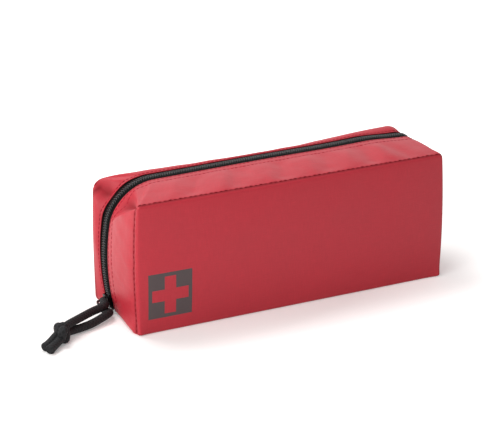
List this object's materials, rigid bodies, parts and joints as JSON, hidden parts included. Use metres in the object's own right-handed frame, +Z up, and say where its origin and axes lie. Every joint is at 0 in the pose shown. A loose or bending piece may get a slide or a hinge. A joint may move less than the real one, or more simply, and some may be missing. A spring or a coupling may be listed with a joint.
{
  "type": "first aid kit",
  "caption": "Soft zipped first aid bag standing on its base, with a back lid, a cord puller on the zip slider and its dressings and scissors inside.",
  "frame": {"origin": "centre of the base on the ground, in the middle of the bag's length and depth", "axes": "+X along the bag's length towards its fuller end, -Y out of the printed front panel, +Z up"},
  "size_m": [0.3308, 0.0782, 0.1012],
  "materials": {
    "bag_cloth": "glossy coated red nylon",
    "binding_tape": "matt red binding tape",
    "zip_tape": "matt black woven tape",
    "zip_teeth": "dark grey nylon coil",
    "slider_metal": "black enamel",
    "cord": "matt black braid",
    "spool_plastic": "white",
    "plaster": "skin-coloured sticking plaster",
    "gauze": "white gauze",
    "sachet_film": "clear-white film",
    "sachet_paper": "coated paper",
    "leaflet_paper": "plain paper",
    "steel": "brushed"
  },
  "bodies": {
    "bag": {"front_base_panel": "bag_cloth", "front_gusset": "bag_cloth", "rear_gusset_foot_left": "bag_cloth", "rear_gusset_foot_right": "bag_cloth", "front_seam_binding": "binding_tape", "front_zip_tape": "zip_tape", "rear_tape_end_left": "zip_tape", "rear_tape_end_right": "zip_tape", "front_zip_teeth": "zip_teeth", "zip_top_stop_front": "slider_metal", "zip_top_stop_rear": "slider_metal", "zip_bottom_stop": "slider_metal", "plaster_spool": "spool_plastic", "plaster_tape": "plaster", "large_bandage_1": "gauze", "large_bandage_2": "gauze", "large_bandage_3": "gauze", "small_bandage_1": "gauze", "small_bandage_2": "gauze", "gloves_packet": "sachet_film", "wipes_packet": "sachet_paper", "plaster_strip_packet": "sachet_paper", "wound_dressing_1": "sachet_film", "wound_dressing_2": "sachet_film", "compress_packet": "sachet_film", "triangular_bandage": "sachet_film", "burn_sheet": "sachet_paper", "foil_blanket": "sachet_film", "leaflet": "leaflet_paper", "scissors_fixed_half": "steel", "scissors_rivet": "steel"},
    "lid": {"rear_panel": "bag_cloth", "rear_gusset": "bag_cloth", "rear_zip_tape": "zip_tape", "rear_zip_teeth": "zip_teeth", "rear_seam_binding": "binding_tape"},
    "slider": {"zip_slider": "slider_metal"},
    "puller": {"puller_ring": "slider_metal", "pull_cord_upper": "cord", "pull_cord_lower": "cord", "cord_knot": "cord", "cord_tail_upper": "cord", "cord_tail_lower": "cord"},
    "scissors_half": {"scissors_moving_half": "steel"}
  },
  "joints": [
    {"name": "lid_hinge", "type": "hinge", "parent": "bag", "child": "lid", "pos_m": [0, 0.0375, 0], "axis": [-1, 0, 0], "range_deg": [0, 90]},
    {"name": "slider_travel", "type": "hinge", "parent": "bag", "child": "slider", "pos_m": [0.0543, 0.0175, 0.042], "axis": [0, 1, 0], "range_deg": [0, 15.8]},
    {"name": "puller_swing", "type": "hinge", "parent": "slider", "child": "puller", "pos_m": [-0.12662, 0.0175, 0.00741], "axis": [0, 1, 0], "range_deg": [0, 60]},
    {"name": "scissors_pivot", "type": "hinge", "parent": "bag", "child": "scissors_half", "pos_m": [-0.02, 0.0235, 0.04372], "axis": [0, 1, 0], "range_deg": [0, 35]}
  ]
}
